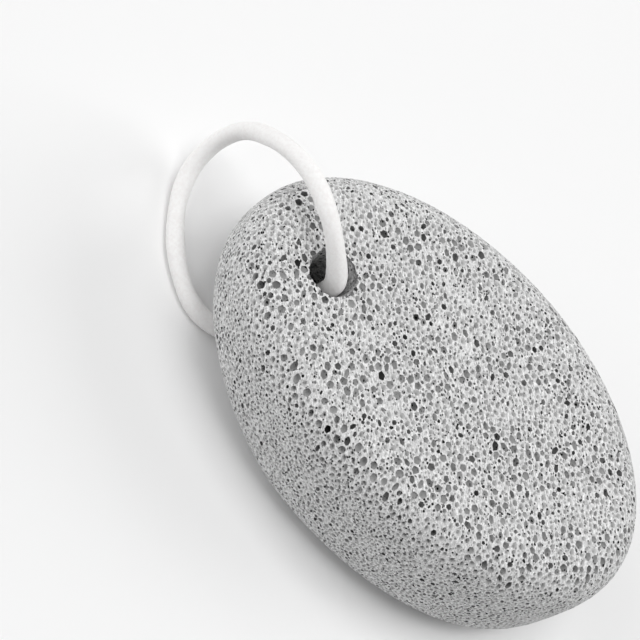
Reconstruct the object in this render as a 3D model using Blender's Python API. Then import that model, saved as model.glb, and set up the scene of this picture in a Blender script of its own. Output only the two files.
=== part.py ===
"""An oval pumice stone for rubbing skin smooth, bored through near one end, and the cord loop through it.

The stone lies on its flat underside, +Z up, with its long side along X and its bored end at -X.
All lengths are in metres. The stone is one solid: a rounded pebble whose skin is divided into small
irregular cells, most of them with an open gas pit. The cord is one tube whose two ends meet inside the bore.
"""

import math
import random

import bmesh
import bpy
import numpy as np
from mathutils import Vector
from mathutils.bvhtree import BVHTree
from mathutils.geometry import interpolate_bezier

MM = 0.001

# The stone's outline, seen from above, is an ellipse that bows a little to one side.
LENGTH = 100 * MM
WIDTH = 65 * MM
BOW = 2.0 * MM

# Its top face climbs gently from the bored end to the other, which is the thicker one.
HEIGHT_MIDDLE = 32.4 * MM
TOP_RISE = 2.9 * MM

# The faces are flat, and their edges round over within this distance of the outline.
EDGE_INSET = 11.5 * MM
EDGE_POWER = 3.2

# The underside is flat from here to the thick end, and curves up under the bored end.
REST_START_X = -6 * MM
LIFT_AT_BORE = 5.3 * MM
LIFT_POWER = 1.35

# The bore is worn wide at both mouths, most of all underneath, where the cord turns.
BORE_X = -31 * MM
BORE_Y = -5.5 * MM
BORE_RADIUS = 4.2 * MM
TOP_FLARE = 0.8 * MM
BOTTOM_FLARE = 2.6 * MM
TOP_FLARE_DEPTH = 1.5 * MM
BOTTOM_FLARE_DEPTH = 3.0 * MM
BORE_SIDES = 18
MOUTH_CHIP = 0.35 * MM

# The gas pits.
CELL_SPACING = 4.6 * MM
PIT_SHARE = 0.7
LARGE_PIT_SHARE = 0.36
PIT_FREE_AROUND_BORE = 8.5 * MM
REST_POINT = (18 * MM, 0.0, 0.0)
PIT_FREE_AROUND_REST = 4.5 * MM
SEED = 11

# The cord: a round braid, and the route of its middle line from end to end.
CORD_DIAMETER = 3.7 * MM
CORD_STEP = 1.0 * CORD_DIAMETER
CORD_ROUTE_MM = (
    (-29.4, -6.2, 17.4),
    (-29.3, -6.2, 23.8),
    (-29.6, -6.2, 30.2),
    (-34.3, -5.1, 35.4),
    (-39.7, -3.2, 38.2),
    (-45.5, -0.5, 38.2),
    (-50.7, 2.2, 35.7),
    (-54.9, 4.7, 31.5),
    (-58.0, 7.1, 26.4),
    (-60.6, 9.2, 20.9),
    (-62.7, 10.1, 14.9),
    (-63.8, 8.5, 8.9),
    (-63.2, 4.2, 4.2),
    (-60.6, -1.2, 2.2),
    (-56.8, -6.4, 1.9),
    (-52.2, -10.9, 1.9),
    (-46.8, -14.3, 1.9),
    (-42.6, -15.7, 1.9),
    (-38.5, -15.5, 1.9),
    (-34.9, -13.8, 2.0),
    (-32.1, -11.0, 3.2),
    (-30.6, -8.3, 6.0),
    (-29.8, -6.5, 10.2),
    (-29.4, -6.2, 16.6),
)


def clear_scene():
    for obj in list(bpy.data.objects):
        bpy.data.objects.remove(obj, do_unlink=True)


def make_material(name, color, roughness, metallic=0.0):
    material = bpy.data.materials.new(name)
    material.use_nodes = True
    shader = material.node_tree.nodes["Principled BSDF"]
    shader.inputs["Base Color"].default_value = (*color, 1.0)
    shader.inputs["Roughness"].default_value = roughness
    shader.inputs["Metallic"].default_value = metallic
    return material


def add_object(name, data, material=None):
    obj = bpy.data.objects.new(name, data)
    bpy.context.scene.collection.objects.link(obj)
    if material:
        data.materials.append(material)
    return obj


# The smooth form of the stone


def underside_height(x):
    """How high the underside is above the ground at x."""
    reach = np.clip(REST_START_X - x, 0, None) / (REST_START_X - BORE_X)
    return LIFT_AT_BORE * reach**LIFT_POWER


def top_height(x):
    return HEIGHT_MIDDLE + TOP_RISE * x / (LENGTH / 2)


def form_point(angle, inset, shrink, rise):
    """A point of the smooth form.

    angle turns around the outline, inset is the distance in from it, and shrink scales the inset outline
    towards the middle of a face. rise is 1 on the top face, 0 halfway up the side, -1 on the underside.
    """
    a, b = LENGTH / 2, WIDTH / 2
    across = math.hypot(math.cos(angle) / a, math.sin(angle) / b)
    x = a * math.cos(angle) - inset * math.cos(angle) / a / across
    y = b * math.sin(angle) - inset * math.sin(angle) / b / across
    x, y = x * shrink, y * shrink
    y -= BOW * (x / a) ** 2
    low, high = underside_height(x), top_height(x)
    return Vector((x, y, low + (high - low) * (1 + rise) / 2))


def form_rings(turns=120, edge_steps=14, face_steps=16):
    """The smooth form as rings of points, from the middle of the underside up to the middle of the top."""
    rises = []
    for step in range(face_steps):
        rises.append((EDGE_INSET, max(step / face_steps, 0.001), -1))
    for step in range(2 * edge_steps + 1):
        turn = math.pi / 2 * (step / edge_steps - 1)
        inset = EDGE_INSET * (1 - math.cos(turn) ** (2 / EDGE_POWER))
        rise = math.copysign(abs(math.sin(turn)) ** (2 / EDGE_POWER), turn)
        rises.append((inset, 1, rise))
    for step in reversed(range(face_steps)):
        rises.append((EDGE_INSET, max(step / face_steps, 0.001), 1))
    angles = [2 * math.pi * k / turns for k in range(turns)]
    return [[form_point(angle, *place) for angle in angles] for place in rises]


def form_quads(rings):
    """Every quad of the smooth form, its corners in order."""
    quads = []
    for lower, upper in zip(rings, rings[1:]):
        for k, corner in enumerate(lower):
            after = (k + 1) % len(lower)
            quads.append((corner, lower[after], upper[after], upper[k]))
    return quads


def scattered_points(quads):
    """Points spread evenly at random over the form, none nearer to another than CELL_SPACING."""
    corners = np.array(quads)
    across = np.cross(corners[:, 2] - corners[:, 0], corners[:, 3] - corners[:, 1])
    area = np.linalg.norm(across, axis=1)
    draw = np.random.default_rng(SEED)
    picked = corners[draw.choice(len(corners), size=30000, p=area / area.sum())]
    u, v = draw.random((2, len(picked), 1))
    lower = picked[:, 0] * (1 - u) + picked[:, 1] * u
    upper = picked[:, 3] * (1 - u) + picked[:, 2] * u
    kept = np.empty((0, 3))
    for point in lower * (1 - v) + upper * v:
        if not len(kept) or np.linalg.norm(kept - point, axis=1).min() > CELL_SPACING:
            kept = np.vstack([kept, point])
    return [Vector(point) for point in kept]


# The skin's cells and pits


def angle_facing(edge, loop):
    """The angle of a loop's triangle at the corner that faces an edge."""
    tip = loop.link_loop_prev.vert.co
    one, other = edge.verts
    return (one.co - tip).angle(other.co - tip)


def turn_slanting_edges(net):
    """Turns each edge whose two triangles are slim, so that they become fuller, and counts the turned."""
    turned = 0
    for edge in net.edges[:]:
        if not edge.is_valid or len(edge.link_loops) != 2:
            continue
        facing = sum(angle_facing(edge, loop) for loop in edge.link_loops)
        if facing > math.pi + 0.01 and bmesh.utils.edge_rotate(edge, True):
            turned += 1
    return turned


def net_over(points):
    """The points joined into a closed net of triangles.

    The points are drawn out on to a sphere, where their convex hull joins neighbours, and put back.
    """
    middle = Vector((0, 0, HEIGHT_MIDDLE / 2))
    net = bmesh.new()
    for point in points:
        out = point - middle
        out = Vector((out.x / LENGTH, out.y / WIDTH, out.z / HEIGHT_MIDDLE))
        net.verts.new(out.normalized())
    bmesh.ops.convex_hull(net, input=net.verts[:])
    for vert, point in zip(net.verts, points):
        vert.co = point
    while turn_slanting_edges(net):
        pass
    net.normal_update()
    return net


def faces_around(vert):
    """The faces that meet at a point of the net, in order around it."""
    loop = vert.link_loops[0]
    around = []
    while loop.face not in around:
        around.append(loop.face)
        loop = loop.link_loop_prev.link_loop_radial_next
    return around


def cells_of(net, form):
    """The net's dual: a cell around each of its points, with its corners on the smooth form."""
    skin = bmesh.new()
    corner = {}
    for face in net.faces:
        nearest = form.find_nearest(face.calc_center_median())[0]
        corner[face] = skin.verts.new(nearest)
    for vert in net.verts:
        skin.faces.new([corner[face] for face in faces_around(vert)])
    bmesh.ops.recalc_face_normals(skin, faces=skin.faces[:])
    return skin


def far_from_plain_places(face):
    """Whether a cell may have a pit: the bore's mouths and the middle of the resting face are left whole."""
    middle = face.calc_center_median()
    from_bore = math.hypot(middle.x - BORE_X, middle.y - BORE_Y)
    from_rest = (middle - Vector(REST_POINT)).length
    return from_bore > PIT_FREE_AROUND_BORE and from_rest > PIT_FREE_AROUND_REST


def inner_radius(face):
    """The distance from a cell's middle to its nearest side."""
    middle = face.calc_center_median()
    return min((sum((v.co for v in edge.verts), Vector()) / 2 - middle).length for edge in face.edges)


def open_pit(skin, face, pick):
    """A pit in one cell: a rim inside the cell's sides, and a hollow that narrows below it."""
    radius = inner_radius(face)
    large = pick.random() < LARGE_PIT_SHARE
    rim = radius * (pick.uniform(0.2, 0.3) if large else pick.uniform(0.36, 0.56))
    bmesh.ops.inset_individual(skin, faces=[face], thickness=rim)
    mouth = radius - rim
    if large:
        wall = mouth * pick.uniform(0.18, 0.26)
        bmesh.ops.inset_individual(skin, faces=[face], thickness=wall, depth=-mouth * 0.7)
        bmesh.ops.poke(skin, faces=[face], offset=-mouth * 0.25)
    else:
        bmesh.ops.poke(skin, faces=[face], offset=-mouth * pick.uniform(0.8, 1.15))


def centre_over_origin(skin):
    """Moves the skin so that the origin is under the middle of its box, at the height it rests on."""
    places = np.array([vert.co for vert in skin.verts])
    low, high = places.min(axis=0), places.max(axis=0)
    shift = Vector((-(low[0] + high[0]) / 2, -(low[1] + high[1]) / 2, -low[2]))
    bmesh.ops.translate(skin, verts=skin.verts[:], vec=shift)


def stone_mesh():
    quads = form_quads(form_rings())
    corners = [corner for quad in quads for corner in quad]
    indices = [tuple(range(4 * k, 4 * k + 4)) for k in range(len(quads))]
    form = BVHTree.FromPolygons(corners, indices)
    net = net_over(scattered_points(quads))
    skin = cells_of(net, form)
    net.free()
    centre_over_origin(skin)
    pick = random.Random(SEED)
    for face in skin.faces[:]:
        if pick.random() < PIT_SHARE and far_from_plain_places(face):
            open_pit(skin, face, pick)
    for vert in skin.verts:
        vert.co.z = max(vert.co.z, 0)
    bmesh.ops.triangulate(skin, faces=skin.faces[:])
    mesh = bpy.data.meshes.new("stone")
    skin.to_mesh(mesh)
    skin.free()
    return mesh


# The bore


def bore_radius_at(height):
    """The bore's radius at a height above the ground: BORE_RADIUS inside, and wider at the mouths."""
    below_top = top_height(BORE_X) - height
    above_bottom = height - underside_height(BORE_X)
    top = TOP_FLARE * math.exp(-max(below_top, 0) / TOP_FLARE_DEPTH)
    bottom = BOTTOM_FLARE * math.exp(-max(above_bottom, 0) / BOTTOM_FLARE_DEPTH)
    return BORE_RADIUS + top + bottom


def bore_cutter():
    """A closed spindle through the bored end, a little uneven around its mouths."""
    top = float(top_height(BORE_X))
    bottom = float(underside_height(BORE_X))
    heights = [bottom - 4 * MM, bottom - 0.8 * MM, bottom + 0.8 * MM, bottom + 2.4 * MM, bottom + 4.5 * MM]
    heights += [top - 5 * MM, top - 2 * MM, top - 0.7 * MM, top + 0.7 * MM, top + 4 * MM]
    pick = random.Random(SEED)
    cutter = bmesh.new()
    rings = []
    for height in heights:
        ring = []
        for side in range(BORE_SIDES):
            angle = 2 * math.pi * side / BORE_SIDES
            radius = bore_radius_at(height) + pick.uniform(-MOUTH_CHIP, MOUTH_CHIP) / 2
            x = BORE_X + radius * math.cos(angle)
            ring.append(cutter.verts.new((x, BORE_Y + radius * math.sin(angle), height)))
        rings.append(ring)
    for lower, upper in zip(rings, rings[1:]):
        for side in range(BORE_SIDES):
            after = (side + 1) % BORE_SIDES
            cutter.faces.new((lower[side], lower[after], upper[after], upper[side]))
    cutter.faces.new(list(reversed(rings[0])))
    cutter.faces.new(rings[-1])
    bmesh.ops.recalc_face_normals(cutter, faces=cutter.faces[:])
    mesh = bpy.data.meshes.new("bore_cutter")
    cutter.to_mesh(mesh)
    cutter.free()
    obj = add_object("bore_cutter", mesh)
    obj.hide_render = True
    obj.display_type = "WIRE"
    return obj


def build_stone():
    pumice = make_material("pumice", (0.55, 0.55, 0.55), 0.95)
    stone = add_object("stone", stone_mesh(), pumice)
    bore = stone.modifiers.new("bore", "BOOLEAN")
    bore.operation = "DIFFERENCE"
    bore.solver = "EXACT"
    bore.object = bore_cutter()


# The cord


def smooth_route():
    """The cord's middle line: a smooth curve through the route's points, read at even steps."""
    places = [Vector(point) * MM for point in CORD_ROUTE_MM]
    line = [places[0]]
    for k in range(len(places) - 1):
        before = places[max(k - 1, 0)]
        start, end = places[k], places[k + 1]
        after = places[min(k + 2, len(places) - 1)]
        leave, arrive = start + (end - before) / 6, end - (after - start) / 6
        line += interpolate_bezier(start, leave, arrive, end, 24)[1:]
    lengths = [0.0]
    for one, other in zip(line, line[1:]):
        lengths.append(lengths[-1] + (other - one).length)
    count = round(lengths[-1] / CORD_STEP)
    steps = np.linspace(0, lengths[-1], count + 1)
    columns = [np.interp(steps, lengths, [point[axis] for point in line]) for axis in range(3)]
    return np.stack(columns, axis=1)


def build_cord():
    curve = bpy.data.curves.new("cord", "CURVE")
    curve.dimensions = "3D"
    curve.bevel_depth = CORD_DIAMETER / 2
    curve.bevel_resolution = 2
    curve.use_fill_caps = True
    points = smooth_route()
    spline = curve.splines.new("POLY")
    spline.points.add(len(points) - 1)
    for place, point in zip(spline.points, points):
        place.co = (*point, 1.0)
    spline.use_smooth = True
    braid = make_material("white braid", (0.86, 0.85, 0.83), 0.8)
    add_object("cord", curve, braid)


clear_scene()
build_stone()
build_cord()
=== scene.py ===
# %% [markdown]
# # A pumice stone on a cord
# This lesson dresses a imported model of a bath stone: an oval block of ground pumice, bored near one end, with
# a white cord looped through the bore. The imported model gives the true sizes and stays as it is. Each cell
# below makes one piece or one finish. Everything is in metres, and the stone lies on its flat underside with
# +Z up, though in use it hangs by its cord.

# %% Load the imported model
import itertools
import math
import random

import bpy
import numpy as np
from mathutils import Matrix, Vector
from mathutils.geometry import interpolate_bezier
from mathutils.kdtree import KDTree


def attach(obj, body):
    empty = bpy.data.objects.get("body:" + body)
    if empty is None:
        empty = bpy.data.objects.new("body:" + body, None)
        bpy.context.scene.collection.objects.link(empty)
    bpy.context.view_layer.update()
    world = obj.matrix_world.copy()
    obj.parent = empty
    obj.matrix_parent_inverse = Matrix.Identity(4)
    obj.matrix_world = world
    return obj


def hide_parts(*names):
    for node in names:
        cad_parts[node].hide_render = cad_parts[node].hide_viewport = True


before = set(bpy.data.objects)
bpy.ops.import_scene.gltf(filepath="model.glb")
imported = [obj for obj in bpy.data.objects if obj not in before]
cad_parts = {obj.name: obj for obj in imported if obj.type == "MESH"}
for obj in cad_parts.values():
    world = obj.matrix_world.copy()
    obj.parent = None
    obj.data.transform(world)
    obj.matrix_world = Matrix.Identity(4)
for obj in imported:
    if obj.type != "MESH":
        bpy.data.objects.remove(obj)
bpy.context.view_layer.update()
MM = 0.001


def in_mm(lengths):
    """Lengths in millimetres, rounded for printing."""
    return [round(length / MM, 1) for length in lengths]


# %% [markdown]
# ## The camera
# A camera can be aimed with a Track To constraint, but a picture that is also rolled is easier to set with
# three angles. The view looks down at the stone from its long side: azimuth and elevation say where the
# camera stands, roll turns the picture, and the aim is a little off the stone's middle, which slides the
# stone in the frame.

# %% The camera
STONE_MIDDLE = Vector((0, 0, 16.2)) * MM
AZIMUTH, ELEVATION, ROLL = (math.radians(angle) for angle in (-104.5, 54.43, 60.82))
DISTANCE = 448.4 * MM
AIM_LEFT, AIM_UP = 19.34 * MM, 15.78 * MM
LENS, SENSOR = 128.8, 36.0


def camera_axes():
    """The unrolled camera's right, up and back directions, turned by the roll."""
    back = Vector((math.cos(ELEVATION) * math.cos(AZIMUTH), math.cos(ELEVATION) * math.sin(AZIMUTH),
                   math.sin(ELEVATION)))
    right = Vector((-math.sin(AZIMUTH), math.cos(AZIMUTH), 0))
    up = back.cross(right)
    return (math.cos(ROLL) * right + math.sin(ROLL) * up, math.cos(ROLL) * up - math.sin(ROLL) * right, back)


right, up, back = camera_axes()
stand = STONE_MIDDLE + DISTANCE * back
aim = STONE_MIDDLE - AIM_LEFT * right + AIM_UP * up
back = (stand - aim).normalized()
right = up.cross(back).normalized()
up = back.cross(right)
bpy.ops.object.camera_add()
camera = bpy.context.object
camera.name = "camera"
camera.data.lens, camera.data.sensor_width = LENS, SENSOR
camera.matrix_world = Matrix((right, up, back)).transposed().to_4x4()
camera.location = stand
bpy.context.scene.camera = camera
print("camera stands at", in_mm(stand), "mm")

# %% [markdown]
# ## Small helpers
# Operators act on everything that is selected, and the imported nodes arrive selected, so each step starts with
# nothing selected. Node trees are quicker to read in code when one call makes a node, sets it and links it.

# %% Helpers
def deselect():
    """Goes back to Object Mode with nothing selected."""
    if bpy.context.mode != "OBJECT":
        bpy.ops.object.mode_set(mode="OBJECT")
    bpy.ops.object.select_all(action="DESELECT")


def node(tree, kind, links=None, **settings):
    """A new node with its settings, and each named input linked or set."""
    made = tree.nodes.new(kind)
    for name, value in settings.items():
        setattr(made, name, value)
    for name, value in (links or {}).items():
        if isinstance(value, bpy.types.NodeSocket):
            tree.links.new(value, made.inputs[name])
        else:
            made.inputs[name].default_value = value
    return made


def calc(tree, operation, *values):
    """A Math node's result."""
    return node(tree, "ShaderNodeMath", dict(enumerate(values)), operation=operation).outputs[0]


def vector_calc(tree, operation, *values):
    """A Vector Math node's result: a number for a dot product or a length, else a vector."""
    made = node(tree, "ShaderNodeVectorMath", dict(enumerate(values)), operation=operation)
    return made.outputs["Value" if operation in ("DOT_PRODUCT", "LENGTH") else "Vector"]


def step(tree, value, start, end):
    """0 up to start, 1 from end, and smooth between."""
    links = {"Value": value, "From Min": start, "From Max": end}
    return node(tree, "ShaderNodeMapRange", links, interpolation_type="SMOOTHSTEP").outputs[0]

# %% [markdown]
# ## The cord
# The cord is soft braided cotton, 3.7 mm across. It comes up out of the bore, arches over the end of the
# stone, lies on the ground and goes back in from below, where its two ends meet out of sight. A curve with a
# round bevel would do for a smooth cord. This one is swept as a mesh tube, so that each strand can be raised,
# the soft cord can be a little oval here and plumper there, and its UV map can run round and along it for the
# fibres.

# %% The cord's route
CORD_DIAMETER = 3.7 * MM
CORD_ROUTE_MM = (
    (-29.4, -6.2, 17.4), (-29.3, -6.2, 23.8), (-29.6, -6.2, 30.2), (-34.3, -5.1, 35.4),
    (-39.7, -3.2, 38.2), (-45.5, -0.5, 38.2), (-50.7, 2.2, 35.7), (-54.9, 4.7, 31.5),
    (-58.0, 7.1, 26.4), (-60.6, 9.2, 20.9), (-62.7, 10.1, 14.9), (-63.8, 8.5, 8.9),
    (-63.2, 4.2, 4.2), (-60.6, -1.2, 2.2), (-56.8, -6.4, 1.9), (-52.2, -10.9, 1.9),
    (-46.8, -14.3, 1.9), (-42.6, -15.7, 1.9), (-38.5, -15.5, 1.9), (-34.9, -13.8, 2.0),
    (-32.1, -11.0, 3.2), (-30.6, -8.3, 6.0), (-29.8, -6.5, 10.2), (-29.4, -6.2, 16.6),
)
RING_STEP, CURVE_STEPS = 0.25 * MM, 24


def smooth_line(places, gap):
    """A smooth curve through the places, read at even steps of about gap, and its length."""
    line = [places[0]]
    for k in range(len(places) - 1):
        start, end = places[k], places[k + 1]
        leave = start + (end - places[max(k - 1, 0)]) / 6
        arrive = end - (places[min(k + 2, len(places) - 1)] - start) / 6
        line += interpolate_bezier(start, leave, arrive, end, CURVE_STEPS)[1:]
    along = [0.0]
    for one, other in zip(line, line[1:]):
        along.append(along[-1] + (other - one).length)
    steps = np.linspace(0, along[-1], round(along[-1] / gap) + 1)
    columns = [np.interp(steps, along, [place[axis] for place in line]) for axis in range(3)]
    return np.stack(columns, axis=1), along[-1]


cord_places = [Vector(place) * MM for place in CORD_ROUTE_MM]
cord_line, cord_length = smooth_line(cord_places, RING_STEP)
print(f"cord: {cord_length / MM:.1f} mm long, {len(cord_line)} rings")

# %% The cord's tube
RING_SIDES = 60
STRANDS_ROUND, BRAID_PITCH = 12, 18.0 * MM
STRAND_RISE, STRAND_ROUNDNESS, STRAND_DIPS = 0.06 * MM, 0.7, 0.65
SOFTNESS, OVAL_PITCH, SWELL_PITCH, SLOWER = 0.03, 37 * MM, 13 * MM, 2.7
PRESSED, PRESSED_AT, PRESSED_OVER = 0.13, 12.0 * MM, 4.5 * MM
GROUND_GAP = 0.02 * MM
STRAND_CREASE = math.radians(50)


def sweep_frames(line):
    """A normal and a side direction at each point of the line, carried along it without twist."""
    ahead = np.gradient(line, axis=0)
    ahead /= np.linalg.norm(ahead, axis=1, keepdims=True)
    normal = np.cross(ahead[0], (0.0, 1.0, 0.0))
    normals = []
    for tangent in ahead:
        normal = normal - tangent * normal.dot(tangent)
        normal /= np.linalg.norm(normal)
        normals.append(normal)
    normals = np.array(normals)
    return normals, np.cross(ahead, normals)


def strand_height(turn, along):
    """How high a braid stands, 0 to 1: strands run both ways round and pass over and under by turns."""
    one = turn * STRANDS_ROUND + along * STRANDS_ROUND / BRAID_PITCH
    two = turn * STRANDS_ROUND - along * STRANDS_ROUND / BRAID_PITCH
    over = (np.floor(one) + np.floor(two)) % 2 == 0
    across = np.where(over, one % 1, two % 1)
    run = np.where(over, two % 1, one % 1)
    run_height = 1 - STRAND_DIPS + STRAND_DIPS * np.sin(math.pi * run)
    return np.sin(math.pi * across) ** STRAND_ROUNDNESS * run_height


normals, sides = sweep_frames(cord_line)
turns = np.arange(RING_SIDES) / RING_SIDES
alongs = np.linspace(0, cord_length, len(cord_line))
lift = strand_height(turns[None, :], alongs[:, None])
swell = np.sin(2 * math.pi * alongs / SWELL_PITCH) + np.sin(2 * math.pi * alongs / (SLOWER * SWELL_PITCH))
oval = np.cos(4 * math.pi * (turns[None, :] + alongs[:, None] / OVAL_PITCH))
pressed = PRESSED * np.exp(-((alongs - PRESSED_AT) / PRESSED_OVER) ** 2)
plump = 1 + SOFTNESS * (oval + swell[:, None] / 2) + pressed[:, None]
radius = CORD_DIAMETER / 2 * plump - STRAND_RISE * (1 - lift)
ring = (np.cos(2 * math.pi * turns)[None, :, None] * normals[:, None, :]
        + np.sin(2 * math.pi * turns)[None, :, None] * sides[:, None, :])
points = cord_line[:, None, :] + radius[:, :, None] * ring
points[:, :, 2] = np.maximum(points[:, :, 2], GROUND_GAP)
count = len(cord_line)
corners = np.arange(count * RING_SIDES).reshape(count, RING_SIDES)
after = np.roll(corners, -1, axis=1)
quads = np.stack([corners[:-1], after[:-1], after[1:], corners[1:]], axis=-1).reshape(-1, 4)
mesh = bpy.data.meshes.new("cord_braid")
ends = [corners[0][::-1].tolist(), corners[-1].tolist()]
mesh.from_pydata(points.reshape(-1, 3).tolist(), [], quads.tolist() + ends)
uv = mesh.uv_layers.new(name="UVMap")
turn_ends = np.stack([turns, turns + 1 / RING_SIDES, turns + 1 / RING_SIDES, turns], axis=-1)
along_ends = np.stack([alongs[:-1], alongs[:-1], alongs[1:], alongs[1:]], axis=-1)
face_turns = np.tile(turn_ends, (count - 1, 1)).reshape(-1)
face_alongs = np.repeat(along_ends, RING_SIDES, axis=0).reshape(-1)
uv_values = np.zeros((len(mesh.loops), 2))
uv_values[: len(face_turns), 0] = face_turns
uv_values[: len(face_turns), 1] = face_alongs / (math.pi * CORD_DIAMETER)
uv.data.foreach_set("uv", uv_values.reshape(-1))
mesh.attributes.new("strand", "FLOAT", "POINT").data.foreach_set("value", lift.reshape(-1))
cord = bpy.data.objects.new("cord_braid", mesh)
bpy.context.scene.collection.objects.link(cord)
deselect()
cord.select_set(True)
bpy.context.view_layer.objects.active = cord
bpy.ops.object.mode_set(mode="EDIT")
bpy.ops.mesh.select_all(action="SELECT")
bpy.ops.mesh.normals_make_consistent(inside=False)
bpy.ops.object.mode_set(mode="OBJECT")
bpy.ops.object.shade_smooth_by_angle(angle=STRAND_CREASE)
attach(cord, "root")
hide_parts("cord")
print(f"cord: {len(mesh.polygons)} faces")

# %% [markdown]
# ## The stone's smooth form
# Pumice is foamed volcanic glass, and a bath stone is ground from it: two flat faces, an oval outline and
# edges rubbed round. A stretched sphere would have no flat faces. Here a circle is extruded into a stack of
# rings, and each ring is then laid on the form at its own place on the edge's profile, as turning wheels
# would leave it.

# %% The smooth form
LENGTH, WIDTH, BOW = 100 * MM, 65 * MM, 2.0 * MM
HEIGHT_MIDDLE, TOP_RISE = 32.4 * MM, 2.9 * MM
EDGE_INSET, EDGE_POWER = 11.5 * MM, 3.2
REST_START_X, LIFT_AT_BORE, LIFT_POWER = -6 * MM, 5.3 * MM, 1.35
BORE_X, BORE_Y, BORE_RADIUS = -31 * MM, -5.5 * MM, 4.2 * MM
TOP_FLARE, BOTTOM_FLARE = 0.8 * MM, 2.6 * MM
TOP_FLARE_DEPTH, BOTTOM_FLARE_DEPTH = 1.5 * MM, 3.0 * MM
TURNS, EDGE_STEPS, FACE_STEPS, SMALLEST_RING = 76, 9, 4, 0.02


def underside_height(x):
    """Flat under the thick part, and lifted towards the bored end, so that the cord can pass under."""
    return LIFT_AT_BORE * (max(REST_START_X - x, 0) / (REST_START_X - BORE_X)) ** LIFT_POWER


def top_height(x):
    """The top face is flat, and a little higher at the thick end."""
    return HEIGHT_MIDDLE + TOP_RISE * x / (LENGTH / 2)


def on_form(angle, inset, shrink, rise):
    """A point of the form: angle goes round, inset is in from the outline, rise is -1 below to 1 on top."""
    a, b = LENGTH / 2, WIDTH / 2
    across = math.hypot(math.cos(angle) / a, math.sin(angle) / b)
    x = (a * math.cos(angle) - inset * math.cos(angle) / a / across) * shrink
    y = (b * math.sin(angle) - inset * math.sin(angle) / b / across) * shrink
    low, high = underside_height(x), top_height(x)
    return Vector((x, y - BOW * (x / a) ** 2, low + (high - low) * (1 + rise) / 2))


stations = [(EDGE_INSET, max(k / FACE_STEPS, SMALLEST_RING), -1) for k in range(FACE_STEPS)]
for k in range(2 * EDGE_STEPS + 1):
    bend = math.pi / 2 * (k / EDGE_STEPS - 1)
    stations.append((EDGE_INSET * (1 - math.cos(bend) ** (2 / EDGE_POWER)), 1,
                     math.copysign(abs(math.sin(bend)) ** (2 / EDGE_POWER), bend)))
stations += [(EDGE_INSET, max(1 - k / FACE_STEPS, SMALLEST_RING), 1) for k in range(1, FACE_STEPS + 1)]

deselect()
bpy.ops.mesh.primitive_circle_add(vertices=TURNS, radius=LENGTH / 2, fill_type="NGON")
stone = bpy.context.object
stone.name = stone.data.name = "stone_pumice"
bpy.ops.object.mode_set(mode="EDIT")
for _ in stations[1:]:
    bpy.ops.mesh.extrude_region_move(TRANSFORM_OT_translate={"value": (0, 0, MM)})
bpy.ops.object.mode_set(mode="OBJECT")
for vertex in stone.data.vertices:
    vertex.co = on_form(math.atan2(vertex.co.y, vertex.co.x), *stations[round(vertex.co.z / MM)])
bpy.ops.object.mode_set(mode="EDIT")
bpy.ops.mesh.select_all(action="SELECT")
bpy.ops.mesh.normals_make_consistent(inside=False)
bpy.ops.object.mode_set(mode="OBJECT")
print(f"form: {len(stone.data.polygons)} faces, {in_mm(stone.dimensions)} mm")

# %% [markdown]
# ## The bubbles
# The grinding wheel cuts through gas bubbles of all sizes, and each is left as a round pit with a thin wall
# around. Sculpting them one by one would take days, and a displaced grid needs millions of faces before its
# rims are crisp. So the pits are cut by a Boolean, as they would be from a solid full of balls. Four bubbles
# are modelled here: a round one for the widest pits, and pointed ones with six, five and four sides for the
# smaller ones. They have very few faces, because thousands of copies of them will do the cutting.

# %% Four bubbles
def shape_of(thing):
    """The points and triangles of an object that only served as a pattern, which is then removed."""
    mesh = thing.data
    mesh.calc_loop_triangles()
    points = np.empty(len(mesh.vertices) * 3)
    mesh.vertices.foreach_get("co", points)
    corners = np.empty(len(mesh.loop_triangles) * 3, int)
    mesh.loop_triangles.foreach_get("vertices", corners)
    bpy.data.objects.remove(thing)
    return points.reshape(-1, 3), corners.reshape(-1, 3)


deselect()
bpy.ops.mesh.primitive_ico_sphere_add(subdivisions=1, radius=1)
round_bubble = shape_of(bpy.context.object)
pointed_bubbles = {}
for sides in (6, 5, 4):
    deselect()
    bpy.ops.mesh.primitive_cone_add(vertices=sides, radius1=1, depth=1, rotation=(math.pi, 0, 0))
    bpy.ops.object.transform_apply(rotation=True)
    pointed_bubbles[sides] = shape_of(bpy.context.object)
pointed_faces = [len(faces) for _, faces in pointed_bubbles.values()]
print("round bubble:", len(round_bubble[1]), "faces; pointed ones:", pointed_faces)

# %% [markdown]
# ## Scattering the bubbles
# In a foam the bubbles press against each other but keep a wall between them. The widest are placed first and
# each smaller one goes wherever it still fits, which packs them as closely as the real ones. A point is
# picked on the skin by area, and is refused where it comes too near to a bubble that is there already. A foam
# is never even, so slow waves decide where bubbles crowd or thin out, and where they grow wide. On the
# stone's sides they are finer.

# %% Scatter the bubbles
FLOW, FLOW_RISE = math.radians(137), 1.2
PITS_PER_MM2, SHARE_BELOW = 0.78, 0.25
PIT_RADIUS, PIT_SPREAD, PIT_RADII = 0.37 * MM, 0.31, (0.17 * MM, 0.85 * MM)
WALL, BORE_CLEAR = 0.06 * MM, 4.7 * MM
TRIES, WAVES, PIT_SEED = 36, 7, 5
CROWD_SIZE, CROWD, CROWD_VARIES, LEAST_CROWD = 7 * MM, 0.65, 0.4, 0.1
COARSE_SIZE, COARSE, COARSE_VARIES, LEAST_COARSE = 15 * MM, 0.88, 0.2, 0.4
FINE_SIDES, FACE_GAIN, FACE_LESS = 0.70, 1.6, 0.1
FACING_DOWN = -0.95
NO_AREA = 1e-12


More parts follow.
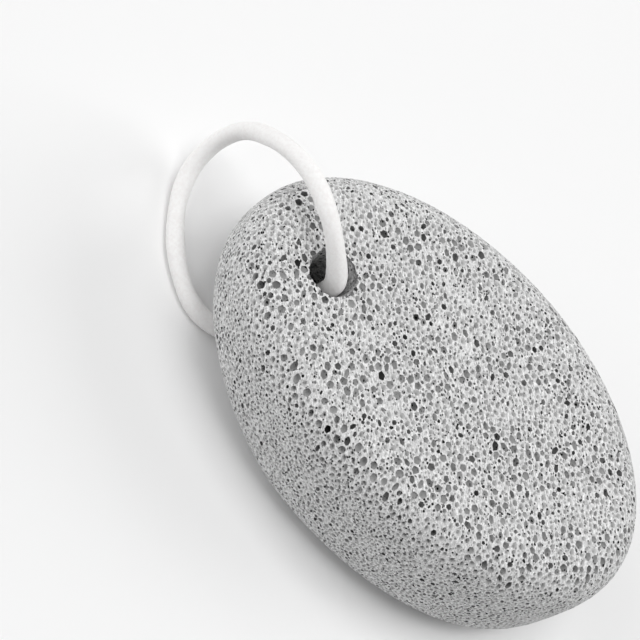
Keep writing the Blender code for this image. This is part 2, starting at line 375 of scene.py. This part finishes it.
def form_skin():
    """The corner points of all the triangles of the smooth form, always in the same order."""
    angles = [2 * math.pi * turn / TURNS for turn in range(TURNS)]
    rings = np.array([[on_form(angle, *station) for angle in angles] for station in stations])
    after = np.roll(rings, -1, axis=1)
    sides = [(rings[:-1], after[:-1], after[1:]), (rings[:-1], after[1:], rings[1:])]
    return [np.concatenate([corner.reshape(-1, 3) for corner in column]) for column in zip(*sides)]


def skin_points(count, draw):
    """Random points spread evenly over the smooth form, with their normals, and the form's area."""
    a, b, c = form_skin()
    cross = np.cross(b - a, c - a)
    double_area = np.linalg.norm(cross, axis=1)
    chosen = draw.choice(len(cross), count, p=double_area / double_area.sum())
    u, v = draw.random((2, count, 1))
    u, v = np.where(u + v > 1, 1 - u, u), np.where(u + v > 1, 1 - v, v)
    places = a[chosen] + u * (b - a)[chosen] + v * (c - a)[chosen]
    return places, (cross / np.maximum(double_area, NO_AREA)[:, None])[chosen], double_area.sum() / 2


def patches(places, size, draw):
    """A smooth random value at each place, about -1 to 1, that changes over the given size."""
    waves = draw.normal(0, 1, (WAVES, 3))
    waves *= 2 * math.pi / size / np.linalg.norm(waves, axis=1, keepdims=True)
    return np.sin(places @ waves.T + draw.uniform(0, 2 * math.pi, WAVES)).sum(axis=1) / math.sqrt(WAVES)


def pack_pits(draw):
    """Places, normals and opening radii of pits that leave a wall between each other."""
    area = skin_points(1, draw)[2]
    count = round(area / MM ** 2 * PITS_PER_MM2)
    radii = np.sort(np.clip(PIT_RADIUS * np.exp(draw.normal(0, PIT_SPREAD, count)), *PIT_RADII))[::-1]
    places, normals, _ = skin_points(count * TRIES, draw)
    from_bore = np.hypot(places[:, 0] - BORE_X, places[:, 1] - BORE_Y)
    crowd = np.clip(CROWD + CROWD_VARIES * patches(places, CROWD_SIZE, draw), LEAST_CROWD, 1)
    crowd = crowd * np.where(normals[:, 2] < FACING_DOWN, SHARE_BELOW, 1)
    wanted = (from_bore > BORE_CLEAR) & (draw.random(len(places)) < crowd)
    places, normals = places[wanted], normals[wanted]
    coarse = np.clip(COARSE + COARSE_VARIES * patches(places, COARSE_SIZE, draw), LEAST_COARSE, 1)
    most = PIT_RADII[1] * coarse
    most *= FINE_SIDES + (1 - FINE_SIDES) * np.clip(FACE_GAIN * normals[:, 2] - FACE_LESS, 0, 1)
    cell = 2 * PIT_RADII[1] + WALL
    around = [(i, j, k) for i in (-1, 0, 1) for j in (-1, 0, 1) for k in (-1, 0, 1)]
    filled, kept = {}, []
    tries = iter(range(len(places)))
    for radius in radii.tolist():
        for turn in itertools.islice(tries, TRIES):
            if radius > most[turn]:
                continue
            x, y, z = places[turn].tolist()
            key = (int(x // cell), int(y // cell), int(z // cell))
            cells = ((key[0] + i, key[1] + j, key[2] + k) for i, j, k in around)
            near = itertools.chain.from_iterable(filled.get(other, ()) for other in cells)
            if all((x - px) ** 2 + (y - py) ** 2 + (z - pz) ** 2 > (radius + pr + WALL) ** 2
                   for px, py, pz, pr in near):
                filled.setdefault(key, []).append((x, y, z, radius))
                kept.append((turn, radius))
                break
    turns, radii = (np.array(column) for column in zip(*kept))
    return places[turns], normals[turns], radii, math.pi * (radii ** 2).sum() / area


draw = np.random.default_rng(PIT_SEED)
*scattered, share = pack_pits(draw)
print(f"{len(scattered[2])} pits, {share:.0%} of the skin")

# %% [markdown]
# ## The bore
# The hole is drilled, and the brittle edge breaks away where the bit goes in and comes out. A plain cylinder
# would leave a clean round mouth, so the cutter is a circle that is extruded up and widened ring by ring at
# both mouths.

# %% The bore
BORE_SIDES, MOUTH_CHIP, BORE_WANDER, CHIP_SEED = 15, 0.42 * MM, 0.10 * MM, 7
RINGS_FROM_BOTTOM_MM = (-4, -0.8, 0.2, 1.0, 2.0, 3.2, 5, 8)
RINGS_FROM_TOP_MM = (-8, -5, -3.5, -2.2, -1.2, -0.4, 0.5, 4)


def bore_radius_at(height):
    """The bore is straight in the middle and flares towards both mouths."""
    top = TOP_FLARE * math.exp(-max(top_height(BORE_X) - height, 0) / TOP_FLARE_DEPTH)
    bottom = BOTTOM_FLARE * math.exp(-max(height - underside_height(BORE_X), 0) / BOTTOM_FLARE_DEPTH)
    return BORE_RADIUS + top + bottom


def add_bore_cutter():
    """The solid that the bore takes out, with rough mouths."""
    top, bottom = top_height(BORE_X), underside_height(BORE_X)
    heights = [bottom + rise * MM for rise in RINGS_FROM_BOTTOM_MM]
    heights += [top + rise * MM for rise in RINGS_FROM_TOP_MM]
    deselect()
    centre = (BORE_X, BORE_Y, heights[0])
    bpy.ops.mesh.primitive_circle_add(vertices=BORE_SIDES, radius=bore_radius_at(heights[0]),
                                      fill_type="NGON", location=centre)
    cutter = bpy.context.object
    bpy.ops.object.mode_set(mode="EDIT")
    for lower, upper in zip(heights, heights[1:]):
        bpy.ops.mesh.extrude_region_move(TRANSFORM_OT_translate={"value": (0, 0, upper - lower)})
        grow = bore_radius_at(upper) / bore_radius_at(lower)
        bpy.ops.transform.resize(value=(grow, grow, 1), center_override=(BORE_X, BORE_Y, upper))
    bpy.ops.mesh.select_all(action="SELECT")
    bpy.ops.mesh.normals_make_consistent(inside=False)
    bpy.ops.object.mode_set(mode="OBJECT")
    pick = random.Random(CHIP_SEED)
    for vertex in cutter.data.vertices:
        flared = (math.hypot(vertex.co.x, vertex.co.y) - BORE_RADIUS) / TOP_FLARE
        most = BORE_WANDER + (MOUTH_CHIP - BORE_WANDER) * min(flared, 1)
        vertex.co.x += pick.uniform(-most, most)
        vertex.co.y += pick.uniform(-most, most)
    return cutter


cutter = add_bore_cutter()
deselect()
stone.select_set(True)
bpy.context.view_layer.objects.active = stone
bore = stone.modifiers.new("bore", "BOOLEAN")
bore.operation, bore.solver, bore.object = "DIFFERENCE", "EXACT", cutter
bpy.ops.object.modifier_apply(modifier=bore.name)
bpy.data.objects.remove(cutter)
print(f"bored: {len(stone.data.polygons)} faces")

# %% [markdown]
# ## Cutting the pits
# One Boolean for each bubble would take an hour, and one for all of them goes wrong wherever two bubbles
# overlap, since the quick solver trusts its cutter to be clean solids. So the bubbles are sorted into a few
# groups in which none touch, and each group is cut at once. A bubble also carries two values into the stone
# for the material: how far a point lies under the skin, and a tone of its own.

# %% Cut the pits
ROUND_FROM, SIX_SIDED_FROM, FIVE_SIDED_FROM = 0.67 * MM, 0.52 * MM, 0.34 * MM
OVER_SKIN, POINTED_DEPTHS = 0.04 * MM, (0.7, 2.2)
BALL_OUT, BALL_DEPTH, BALL_DEEPER, BALL_OPENING = 0.25, 0.75, 1.5, 0.87
LONGER, JITTER, AIM_VARIES = 0.9, 0.09, 0.3
DARK_SMALL, DARK_WIDE = 0.9, 7.0
SUNK, PIT, PIT_LEAST = "sunk", "pit", 0.1


def bubble_copies(shape, places, normals, radii, draw):
    """A copy of the bubble at each place, stretched along the flow, with its points' depths, and its tone."""
    points, corners = shape
    count = len(places)
    points = np.repeat(points[None], count, axis=0)
    if shape is not round_bubble:
        depth = radii * draw.uniform(*POINTED_DEPTHS, count)
        height = np.where(points[:, :, 2] < 0, -depth[:, None], OVER_SKIN)
        wide = (radii * (depth + OVER_SKIN) / depth)[:, None]
    else:
        depth = radii * (BALL_DEPTH + BALL_DEEPER * draw.random(count) ** 2)
        height = (points[:, :, 2] - BALL_OUT) * depth[:, None] / (1 + BALL_OUT)
        wide = (radii / BALL_OPENING)[:, None]
    turn = draw.uniform(0, 2 * math.pi, count)[:, None]
    x = (points[:, :, 0] * np.cos(turn) - points[:, :, 1] * np.sin(turn)) * wide
    y = (points[:, :, 0] * np.sin(turn) + points[:, :, 1] * np.cos(turn)) * wide
    long = np.sqrt(1 + LONGER * draw.random(count) ** 2)[:, None]
    x, y = x * long, y / long
    jitter = draw.uniform(-1, 1, (3, *x.shape)) * JITTER * radii[:, None]
    x, y, height = x + jitter[0], y + jitter[1], height + np.where(height < 0, jitter[2], 0)
    aim = FLOW + draw.normal(0, AIM_VARIES, count)
    ahead = np.stack([np.cos(aim), np.sin(aim), np.full(count, FLOW_RISE)], axis=1)
    ahead -= normals * (ahead * normals).sum(axis=1, keepdims=True)
    ahead /= np.linalg.norm(ahead, axis=1, keepdims=True)
    side = np.cross(normals, ahead)
    world = (places[:, None] + x[..., None] * ahead[:, None] + y[..., None] * side[:, None]
             + height[..., None] * normals[:, None])
    least, most = PIT_RADII
    dark = draw.random(count) ** (DARK_SMALL + DARK_WIDE * (radii - least) / (most - least))
    return world, corners, -height / depth[:, None], dark


def add_layer(mesh, name, domain, values):
    """Stores a value for each point or face of the mesh."""
    layer = mesh.attributes.new(name, "FLOAT", domain)
    layer.data.foreach_set("value", values)


def groups_of(middles, reaches):
    """A group number for each bubble, so that no two bubbles of one group touch."""
    tree = KDTree(len(middles))
    for k, middle in enumerate(middles):
        tree.insert(middle, k)
    tree.balance()
    groups = np.full(len(middles), -1)
    for k, middle in enumerate(middles):
        around = tree.find_range(middle, reaches[k] + reaches.max())
        taken = {groups[other] for _, other, far in around if far < reaches[k] + reaches[other]}
        groups[k] = next(number for number in itertools.count() if number not in taken)
    return groups


def cut_group(stone, bubbles, chosen):
    """Cuts the chosen bubbles of every kind out of the stone."""
    parts, first = [], 0
    for (points, corners, sunk, tones), mine in zip(bubbles, chosen):
        faces = corners + np.arange(mine.sum())[:, None, None] * points.shape[1] + first
        parts.append((points[mine].reshape(-1, 3), faces.reshape(-1, 3), sunk[mine].reshape(-1),
                      np.repeat(tones[mine], len(corners))))
        first += points[mine].size // 3
    points, faces, sunk, tones = (np.concatenate(column) for column in zip(*parts))
    mesh = bpy.data.meshes.new("bubbles")
    mesh.from_pydata(points.tolist(), [], faces.tolist())
    cutter = bpy.data.objects.new("bubbles", mesh)
    bpy.context.scene.collection.objects.link(cutter)
    add_layer(mesh, SUNK, "POINT", sunk)
    add_layer(mesh, PIT, "FACE", PIT_LEAST + (1 - PIT_LEAST) * tones)
    deselect()
    stone.select_set(True)
    bpy.context.view_layer.objects.active = stone
    cut = stone.modifiers.new("pits", "BOOLEAN")
    cut.operation, cut.solver, cut.object = "DIFFERENCE", "MANIFOLD", cutter
    bpy.ops.object.modifier_apply(modifier=cut.name)
    bpy.data.objects.remove(cutter)


def cut_pits(stone, scattered):
    """Cuts all the pits out of the stone, group by group."""
    places, normals, radii = scattered
    kinds = ((round_bubble, ROUND_FROM, 1), (pointed_bubbles[6], SIX_SIDED_FROM, ROUND_FROM),
             (pointed_bubbles[5], FIVE_SIDED_FROM, SIX_SIDED_FROM), (pointed_bubbles[4], 0, FIVE_SIDED_FROM))
    bubbles = []
    for shape, least, most in kinds:
        mine = (radii >= least) & (radii < most)
        bubbles.append(bubble_copies(shape, places[mine], normals[mine], radii[mine], draw))
    middles = [(points.max(axis=1) + points.min(axis=1)) / 2 for points, _, _, _ in bubbles]
    reaches = [np.linalg.norm(points - middle[:, None], axis=2).max(axis=1)
               for (points, _, _, _), middle in zip(bubbles, middles)]
    groups = groups_of(np.concatenate(middles), np.concatenate(reaches))
    ends = np.cumsum([len(middle) for middle in middles])[:-1]
    add_layer(stone.data, SUNK, "POINT", np.zeros(len(stone.data.vertices)))
    add_layer(stone.data, PIT, "FACE", np.zeros(len(stone.data.polygons)))
    for number in range(groups.max() + 1):
        cut_group(stone, bubbles, np.split(groups == number, ends))
    print(f"pits: {len(radii)} cut in {groups.max() + 1} groups, {(radii >= ROUND_FROM).sum()} of them round")


cut_pits(stone, scattered)
triangles = sum(len(face.vertices) - 2 for face in stone.data.polygons)
print(f"stone: {triangles} triangles")

# %% [markdown]
# ## Sharp rims
# Grinding leaves the rim of each pit crisp, while the stone's own form and the inside of a pit are smooth.
# Shading by angle would also bring out the few faces of each bubble. So an edge is marked sharp by what it
# parts, which is skin from pit, and in the bore by its angle.

# %% Sharp rims
CREASE = math.radians(22)


def read(items, name, kind, width=1):
    """One property of every item of a mesh, as an array."""
    values = np.empty(len(items) * width, kind)
    items.foreach_get(name, values)
    return values.reshape(-1, width) if width > 1 else values


def sharpen_rims(mesh):
    """Marks the rims between skin and pit and the creases of the bore sharp, and leaves the rest smooth."""
    of_corner = np.repeat(np.arange(len(mesh.polygons)), read(mesh.polygons, "loop_total", int))
    in_edge_order = np.argsort(read(mesh.loops, "edge_index", int), kind="stable")
    one, other = of_corner[in_edge_order].reshape(-1, 2).T
    pit = read(mesh.attributes[PIT].data, "value", float) > 0
    normals = read(mesh.polygons, "normal", float, 3)
    bend = (normals[one] * normals[other]).sum(axis=1)
    crease = (bend < math.cos(CREASE)) & ~pit[one] & ~pit[other]
    mesh.polygons.foreach_set("use_smooth", np.ones(len(mesh.polygons), bool))
    mesh.edges.foreach_set("use_edge_sharp", (pit[one] != pit[other]) | crease)


sharpen_rims(stone.data)
print("sharp edges:", sum(edge.use_edge_sharp for edge in stone.data.edges))
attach(stone, "root")
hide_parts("stone")

# %% [markdown]
# ## The smallest bubbles
# Between the pits the glass is full of still smaller bubbles, far too many to cut, and they can be left to
# the material. A Voronoi texture scatters balls through space. Where the skin passes through a ball it is
# open, and how far the ball reaches below the skin there gives the opening a painted shade, darker the deeper
# it reaches, and a height for the bump.

# %% The small bubbles' recipe
# Each layer's tones are a painted shade: an open ball is darker the deeper its middle lies under the skin.
BUBBLE_LAYERS = (
    {"cells": 1.1, "smallest": 0.15, "largest": 0.29, "share": 0.90, "wall": 0.02, "offset": 3.1,
     "long": 1.25, "tones": ((-0.9, 0.08), (0.0, 0.01))},
    {"cells": 2.3, "smallest": 0.16, "largest": 0.50, "share": 0.60, "wall": 0.09, "offset": 5.3,
     "long": 2.0, "tones": ((-0.9, 0.80), (0.0, 0.52), (0.6, 0.28))},
)
WOBBLE, WOBBLE_SCALE = 0.30 * MM, 2.2 / MM
RIM, BALL_BLUR, WALL_BLUR = 0.06, 0.04, 0.4
SCATTER, LEAST_RADIUS = 0.9, 0.01


def wobbled(tree, place):
    """The place moved a little by noise, so that no bubble is a perfect ball."""
    noise = node(tree, "ShaderNodeTexNoise", {"Vector": place, "Scale": WOBBLE_SCALE, "Detail": 1.0})
    centred = vector_calc(tree, "SUBTRACT", noise.outputs["Color"], (0.5, 0.5, 0.5))
    shift = node(tree, "ShaderNodeVectorMath", {0: centred, "Scale": WOBBLE}, operation="SCALE").outputs[0]
    return vector_calc(tree, "ADD", place, shift)


def along_flow(tree, vector):
    """The vector in a frame whose first axis runs along the foam's flow."""
    links = {"Vector": vector, "Angle": -FLOW}
    return node(tree, "ShaderNodeVectorRotate", links, rotation_type="Z_AXIS").outputs[0]


def bubbles(tree, place, normal, layer, clear):
    """One size of ball, scattered through space and cut open by the skin.

    Gives whether the place is in an open ball (0 to 1), how deep its far wall lies in metres, how far the
    ball's middle lies under the skin (-1 to 1 of its radius), and whether smaller balls may open there.
    """
    cells = layer["cells"] / MM
    squeeze = (1 / layer["long"], 1.0, 1.0)
    offset = tuple(layer["offset"] * MM * k for k in (1, 2, -1))
    moved = vector_calc(tree, "MULTIPLY_ADD", place, squeeze, offset)
    normal = vector_calc(tree, "MULTIPLY", normal, squeeze)
    links = {"Vector": moved, "Scale": cells, "Randomness": SCATTER}
    balls = node(tree, "ShaderNodeTexVoronoi", links, feature="F1")
    edges = node(tree, "ShaderNodeTexVoronoi", links, feature="DISTANCE_TO_EDGE")
    rolls = node(tree, "ShaderNodeSeparateXYZ", {0: balls.outputs["Color"]}).outputs
    spread = layer["largest"] - layer["smallest"]
    size = calc(tree, "MULTIPLY_ADD", rolls[0], spread, layer["smallest"])
    radius = calc(tree, "MULTIPLY", size, calc(tree, "LESS_THAN", rolls[1], layer["share"]))
    gap = calc(tree, "DIVIDE", calc(tree, "SUBTRACT", balls.outputs["Distance"], radius), layer["cells"])
    in_ball = step(tree, gap, 0.0, -BALL_BLUR)
    wall_ends = (layer["wall"] * (1 - WALL_BLUR), layer["wall"] * (1 + WALL_BLUR))
    in_cell = step(tree, edges.outputs["Distance"], *wall_ends)
    is_open = calc(tree, "MULTIPLY", calc(tree, "MULTIPLY", in_ball, in_cell), clear)
    still_clear = calc(tree, "MULTIPLY", clear, step(tree, gap, RIM / 2, RIM * 3 / 2))
    from_middle = vector_calc(tree, "SUBTRACT", moved, balls.outputs["Position"])
    under = calc(tree, "MULTIPLY", vector_calc(tree, "DOT_PRODUCT", from_middle, normal), cells)
    off = calc(tree, "MULTIPLY", balls.outputs["Distance"], balls.outputs["Distance"])
    reach = calc(tree, "SUBTRACT", calc(tree, "MULTIPLY", radius, radius), off)
    squeezed = vector_calc(tree, "DOT_PRODUCT", normal, normal)
    reach = calc(tree, "MULTIPLY", reach, squeezed)
    root = calc(tree, "SQRT", calc(tree, "MAXIMUM", calc(tree, "MULTIPLY_ADD", under, under, reach), 0.0))
    far = calc(tree, "DIVIDE", calc(tree, "ADD", under, root), squeezed)
    depth = calc(tree, "MULTIPLY", calc(tree, "MULTIPLY", far, is_open), 1 / cells)
    lean = calc(tree, "DIVIDE", under, calc(tree, "MAXIMUM", radius, LEAST_RADIUS))
    return {"open": is_open, "depth": depth, "lean": lean, "clear": still_clear}


print("sizes of small bubbles:", len(BUBBLE_LAYERS), "- across, in mm:",
      [(round(2 * layer["smallest"] / layer["cells"], 2), round(2 * layer["largest"] / layer["cells"], 2))
       for layer in BUBBLE_LAYERS])

# %% [markdown]
# ## The pumice
# The glass itself is pale grey, and only its surface tells the foam. Thin films between the bubbles make fine
# light streaks along the flow, so a noise is stretched that way. Voronoi edges give the light ridges where
# bubble meets bubble. Little light comes back out of a pit, so a painted shade darkens its tone from the rim
# to the floor. The wall of the bore is painted darker in rough patches, a painted shade for the deep hole. A
# plain grey with a bump map would look like concrete.

# %% The pumice material
WEB_TONE, WEB_VARIES = 0.72, 1.2
FILM_SCALE, FILM_LONG = 3.6 / MM, 4.0
CELL_SCALE, RIDGE, RIDGE_TONE, HOLLOW_TONE = 1.15 / MM, 0.16, 1.06, 0.88
PIT_RIM_TONE, PIT_FLOOR_TONE = 0.59, 0.33
PIT_LIGHTEST, PIT_DARKENS = 1.105, -1.05
# Painted shade on the wall of the bore: darker in noise patches, fading out away from the bore and on flat
# faces.
BORE_SHADE, BORE_SHADE_FADES, BORE_SHADE_SCALE, BORE_SHADE_PATCHES = 0.48, 2.4 * MM, 0.9 / MM, (0.3, 0.7)
FLAT_FACES = (0.80, 0.95)
GRAIN_SCALE, GRAIN_RISE, PORE_DEPTH = 6.0 / MM, 0.05 * MM, 0.6


def material(name):
    """A new material, its node tree and its shader."""
    made = bpy.data.materials.new(name)
    made.use_nodes = True
    return made, made.node_tree, made.node_tree.nodes["Principled BSDF"]


def pumice_material():
    """Pale foam with films, ridges, small bubbles and pits darkened by painted shade, and painted shade in the
    bore.
    """
    made, tree, shader = material("pumice")
    skin = node(tree, "ShaderNodeTexCoord").outputs["Object"]
    place = along_flow(tree, wobbled(tree, skin))
    normal = along_flow(tree, node(tree, "ShaderNodeNewGeometry").outputs["Normal"])
    drawn = vector_calc(tree, "MULTIPLY", place, (1 / FILM_LONG, 1.0, 1.0))
    links = {"Vector": drawn, "Scale": FILM_SCALE, "Detail": 2.0, "Roughness": 0.6}
    films = node(tree, "ShaderNodeTexNoise", links)
    tone = calc(tree, "MULTIPLY_ADD", films.outputs["Fac"], WEB_VARIES, WEB_TONE - WEB_VARIES / 2)
    links = {"Vector": place, "Scale": CELL_SCALE}
    cells = node(tree, "ShaderNodeTexVoronoi", links, feature="DISTANCE_TO_EDGE")
    hollow = step(tree, cells.outputs["Distance"], 0.0, RIDGE)
    ridged = calc(tree, "MULTIPLY_ADD", hollow, HOLLOW_TONE - RIDGE_TONE, RIDGE_TONE)
    tone = calc(tree, "MULTIPLY", tone, ridged)
    # Painted shade in the cut pits: the tone falls from the rim to the floor by how far a point lies under the
    # skin, and each pit's own tone scales it.
    sunk = node(tree, "ShaderNodeAttribute", attribute_name=SUNK).outputs["Fac"]
    pit = node(tree, "ShaderNodeAttribute", attribute_name=PIT).outputs["Fac"]
    below = step(tree, sunk, 0.0, 1.0)
    inside = calc(tree, "MULTIPLY_ADD", below, PIT_FLOOR_TONE - PIT_RIM_TONE, PIT_RIM_TONE)
    inside = calc(tree, "MULTIPLY", inside, calc(tree, "MULTIPLY_ADD", pit, PIT_DARKENS, PIT_LIGHTEST))
    in_pit = calc(tree, "GREATER_THAN", pit, PIT_LEAST / 2)
    tone = node(tree, "ShaderNodeMix", {0: in_pit, 2: tone, 3: inside}).outputs[0]
    clear, low = 1.0, 0.0
    for layer in BUBBLE_LAYERS:
        cut = bubbles(tree, place, normal, layer, clear)
        clear = cut["clear"]
        low = calc(tree, "MAXIMUM", cut["depth"], low)
        # Painted shade: an open small bubble is darkened by how deep its middle lies under the skin.
        ramp = node(tree, "ShaderNodeValToRGB", {0: calc(tree, "MULTIPLY_ADD", cut["lean"], 0.5, 0.5)})
        ramp.color_ramp.interpolation = "LINEAR"
        stops = ramp.color_ramp.elements
        while len(stops) < len(layer["tones"]):
            stops.new(0.5)
        for stop, (lean, grey) in zip(stops, layer["tones"]):
            stop.position, stop.color = lean / 2 + 0.5, (grey, grey, grey, 1)
        darker = node(tree, "ShaderNodeMix", {0: cut["open"], 2: 1.0, 3: ramp.outputs[0]}).outputs[0]
        tone = calc(tree, "MULTIPLY", tone, darker)
    # Painted shade in the bore: the wall is darkened in noise patches, except on flat faces and away from the
    # bore.
    apart = vector_calc(tree, "MULTIPLY_ADD", skin, (1.0, 1.0, 0.0), (-BORE_X, -BORE_Y, 0.0))
    far = vector_calc(tree, "LENGTH", apart)
    away = step(tree, far, BORE_RADIUS + BORE_SHADE_FADES / 2, BORE_RADIUS + BORE_SHADE_FADES)
    true_normal = node(tree, "ShaderNodeNewGeometry").outputs["True Normal"]
    facing = node(tree, "ShaderNodeSeparateXYZ", {0: true_normal})
    flat = step(tree, calc(tree, "ABSOLUTE", facing.outputs[2]), *FLAT_FACES)
    unshaded = calc(tree, "MAXIMUM", away, flat)
    links = {"Vector": skin, "Scale": BORE_SHADE_SCALE, "Detail": 3.0, "Roughness": 0.7}
    rough = step(tree, node(tree, "ShaderNodeTexNoise", links).outputs["Fac"], *BORE_SHADE_PATCHES)
    bore_shade = calc(tree, "MULTIPLY_ADD", rough, BORE_SHADE, BORE_SHADE / 2)
    tone = calc(tree, "MULTIPLY", tone, node(tree, "ShaderNodeMix", {0: unshaded, 2: bore_shade, 3: 1.0}).outputs[0])
    grey = node(tree, "ShaderNodeCombineColor", {0: tone, 1: tone, 2: tone})
    tree.links.new(grey.outputs[0], shader.inputs["Base Color"])
    shader.inputs["Roughness"].default_value = 0.95
    shader.inputs["Specular IOR Level"].default_value = 0.2
    grain = node(tree, "ShaderNodeTexNoise", {"Vector": place, "Scale": GRAIN_SCALE, "Detail": 3.0})
    sunken = calc(tree, "MULTIPLY", low, -PORE_DEPTH)
    height = calc(tree, "MULTIPLY_ADD", grain.outputs["Fac"], GRAIN_RISE, sunken)
    bump = node(tree, "ShaderNodeBump", {"Height": height, "Strength": 0.6, "Distance": 1.0})
    tree.links.new(bump.outputs[0], shader.inputs["Normal"])
    return made


stone.data.materials.clear()
pumice = pumice_material()
stone.data.materials.append(pumice)
print("pumice:", len(pumice.node_tree.nodes), "nodes")

# %% [markdown]
# ## The white braid
# Cotton is white through and through, and light that enters a fibre comes out of the next one, so a little
# subsurface scattering keeps the shaded side pale. The fibres lean both ways round the cord, as the strands
# do, and a fine noise leaves faint grey flecks. The grooves between the strands get a painted shade, a little
# greyer than the raised strands. A smooth white plastic would be too clean.

# %% The cord material
CORD_WHITE, CORD_SHADE_AND_FLECKS = (0.97, 0.96, 0.95, 1), (0.92, 0.90, 0.89, 1)
FIBRE_ROUND, FIBRE_ALONG, FIBRE_LEAN, FIBRE_RISE = 46.0, 2.5, 0.5, 0.03 * MM
FUZZ_SCALE, FLECKS = 1.2 / MM, (0.36, 0.60)
GROOVE_WHITE, STRAND_LIT = 0.7, 0.7


def braid_material():
    """White cotton with leaning fibres, fuzz, faint flecks and painted shade in the grooves between strands."""
    made, tree, shader = material("braid")
    place = node(tree, "ShaderNodeUVMap", uv_map="UVMap").outputs[0]
    strand = node(tree, "ShaderNodeAttribute", attribute_name="strand").outputs["Fac"]
    fibres = None
    for lean in (1, -1):
        along = vector_calc(tree, "MULTIPLY", place, (FIBRE_ROUND, FIBRE_ALONG, 0.0))
        links = {"Vector": along, "Angle": lean * FIBRE_LEAN}
        turned = node(tree, "ShaderNodeVectorRotate", links, rotation_type="Z_AXIS")
        noise = node(tree, "ShaderNodeTexNoise", {"Vector": turned.outputs[0], "Scale": 1.0, "Detail": 2.0})
        fac = noise.outputs["Fac"]
        fibres = fac if fibres is None else calc(tree, "MAXIMUM", fibres, fac)
    skin = node(tree, "ShaderNodeTexCoord").outputs["Object"]
    links = {"Vector": skin, "Scale": FUZZ_SCALE, "Detail": 4.0, "Roughness": 0.65}
    fuzz = node(tree, "ShaderNodeTexNoise", links)
    # Painted shade: low parts between the raised strands are mixed towards the grey, and the fuzz noise adds
    # grey flecks.
    lit = step(tree, strand, 0.0, STRAND_LIT)
    shade = calc(tree, "MULTIPLY_ADD", lit, 1 - GROOVE_WHITE, GROOVE_WHITE)
    shade = calc(tree, "MULTIPLY", shade, step(tree, fuzz.outputs["Fac"], *FLECKS))
    colour = node(tree, "ShaderNodeMix", {0: shade, 6: CORD_SHADE_AND_FLECKS, 7: CORD_WHITE}, data_type="RGBA")
    tree.links.new(colour.outputs[2], shader.inputs["Base Color"])
    shader.inputs["Roughness"].default_value = 0.85
    shader.inputs["Specular IOR Level"].default_value = 0.25
    shader.inputs["Sheen Weight"].default_value = 0.15
    shader.inputs["Subsurface Weight"].default_value = 0.35
    shader.inputs["Subsurface Radius"].default_value = (1, 1, 1)
    shader.inputs["Subsurface Scale"].default_value = 1.2 * MM
    height = calc(tree, "MULTIPLY", calc(tree, "ADD", fibres, fuzz.outputs["Fac"]), FIBRE_RISE)
    bump = node(tree, "ShaderNodeBump", {"Height": height, "Strength": 0.7, "Distance": 1.0})
    tree.links.new(bump.outputs[0], shader.inputs["Normal"])
    return made


braid = braid_material()
cord.data.materials.append(braid)
print("braid:", len(braid.node_tree.nodes), "nodes")

# %% [markdown]
# ## The floor and the light
# In a studio the stone would lie on white paper under large softboxes, which give soft shadows and leave the
# darkness of each pit to be seen. The strongest stand above and behind to the right, and weaker ones lighten
# the left side. They stand well back, so the floor is lit evenly far beyond the stone. The world is pale
# behind the floor but gives little light itself, or it would fill the pits.

# %% The floor and the light
FLOOR_SIDE = 3
SOFTBOX_SIDE, SOFTBOX_AWAY = 1.8, 3.0
SOFTBOXES = {
    "overhead": ((0, 0, 1), 44), "right_back": ((1, 1, 1), 33), "left": ((-1, 0, 0.7), 14.5),
    "left_front": ((-1, -1, 1), 13), "low_left": ((-1, 0, 0.15), 16),
}
WORLD_LIGHT, WORLD_SEEN = 0.2, 0.75

deselect()
bpy.ops.mesh.primitive_plane_add(size=FLOOR_SIDE, location=(0, 0, 0))
floor = bpy.context.object
floor.name = "floor"
white, tree, shader = material("white_ground")
shader.inputs["Base Color"].default_value = (0.92, 0.92, 0.92, 1)
shader.inputs["Roughness"].default_value = 0.9
floor.data.materials.append(white)

for name, (direction, power) in SOFTBOXES.items():
    direction = Vector(direction).normalized()
    bpy.ops.object.light_add(type="AREA", location=STONE_MIDDLE + SOFTBOX_AWAY * direction,
                             rotation=direction.to_track_quat("Z", "Y").to_euler())
    box = bpy.context.object
    box.name = name
    box.data.size, box.data.energy = SOFTBOX_SIDE, power

world = bpy.data.worlds.new("studio")
world.use_nodes = True
tree = world.node_tree
seen = node(tree, "ShaderNodeLightPath").outputs["Is Camera Ray"]
strength = calc(tree, "MULTIPLY_ADD", seen, WORLD_SEEN, WORLD_LIGHT)
tree.links.new(strength, tree.nodes["Background"].inputs["Strength"])
tree.nodes["Background"].inputs["Color"].default_value = (1, 1, 1, 1)
bpy.context.scene.world = world
bpy.context.scene.view_settings.view_transform = "Standard"
print("softboxes:", ", ".join(SOFTBOXES))
